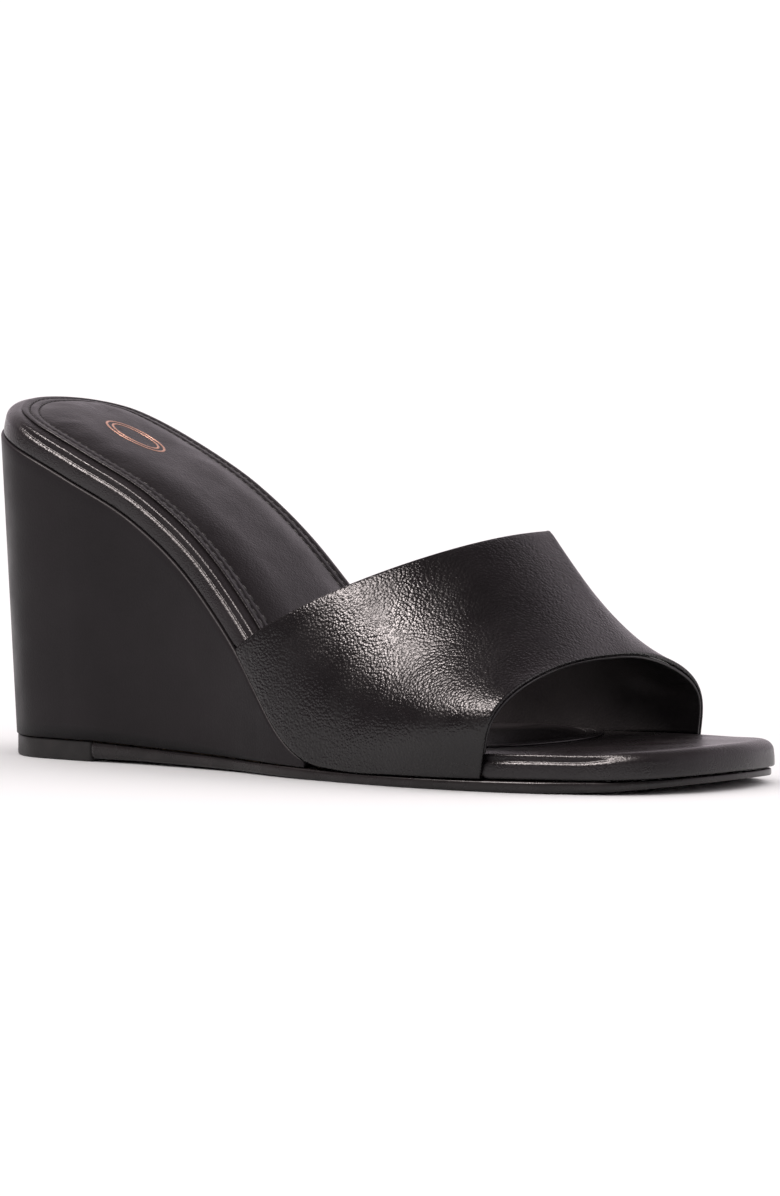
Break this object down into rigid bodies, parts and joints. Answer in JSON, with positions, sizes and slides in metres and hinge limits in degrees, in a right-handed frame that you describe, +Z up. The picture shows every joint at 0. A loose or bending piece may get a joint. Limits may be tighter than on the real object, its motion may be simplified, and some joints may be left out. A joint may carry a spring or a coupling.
{
  "type": "wedge sandal",
  "caption": "Open-toe slip-on sandal for a right foot, with a wide leather vamp on a wrapped padded footbed, a leather-covered wedge heel, a thin rubber outsole and a rubber top piece.",
  "frame": {"origin": "centre of the object's box in X and Y, on the ground that it stands on", "axes": "+X from the heel to the toe, +Y to the medial (inner) side of the right foot, +Z up"},
  "size_m": [0.2212, 0.0891, 0.0906],
  "materials": {
    "insole_cover_leather": "fine-grained black nappa, semi-gloss, wrapped round the footbed edge",
    "cushion_foam": "open-cell cushioning foam, matt",
    "insole_fibreboard": "cellulose fibreboard, matt",
    "filler_cork": "cork sheet, matt",
    "sock_leather": "soft black nappa, padded and edge-stitched",
    "sock_foam": "latex foam, matt",
    "wedge_cork": "light cork composite, matt",
    "wedge_leather": "smooth black leather, satin, stretched over the wedge",
    "outsole_rubber": "thin black rubber sheet, satin, slightly brown at its cut edge",
    "top_piece_rubber": "moulded black rubber, matt",
    "vamp_leather": "fine-grained black nappa with a broad soft shine",
    "vamp_lining_leather": "smooth black lining leather",
    "interlining_cloth": "cotton twill interlining",
    "edge_tape_nylon": "woven nylon tape",
    "shank_steel": "spring steel strip",
    "fastener_steel": "bright steel"
  },
  "bodies": {
    "root": {"insole_cover": "insole_cover_leather", "foam_cushion": "cushion_foam", "insole_board": "insole_fibreboard", "forepart_filler": "filler_cork", "sock_lining": "sock_leather", "sock_pad": "sock_foam", "wedge_core": "wedge_cork", "wedge_cover": "wedge_leather", "outsole": "outsole_rubber", "top_piece": "top_piece_rubber", "vamp_outer": "vamp_leather", "vamp_lining": "vamp_lining_leather", "vamp_interlining": "interlining_cloth", "topline_tape_back": "edge_tape_nylon", "topline_tape_front": "edge_tape_nylon", "shank": "shank_steel", "shank_rivet_1": "fastener_steel", "shank_rivet_2": "fastener_steel", "wedge_nail_1": "fastener_steel", "top_piece_nail_1": "fastener_steel", "wedge_nail_2": "fastener_steel", "top_piece_nail_2": "fastener_steel", "wedge_nail_3": "fastener_steel", "top_piece_nail_3": "fastener_steel"}
  },
  "joints": []
}
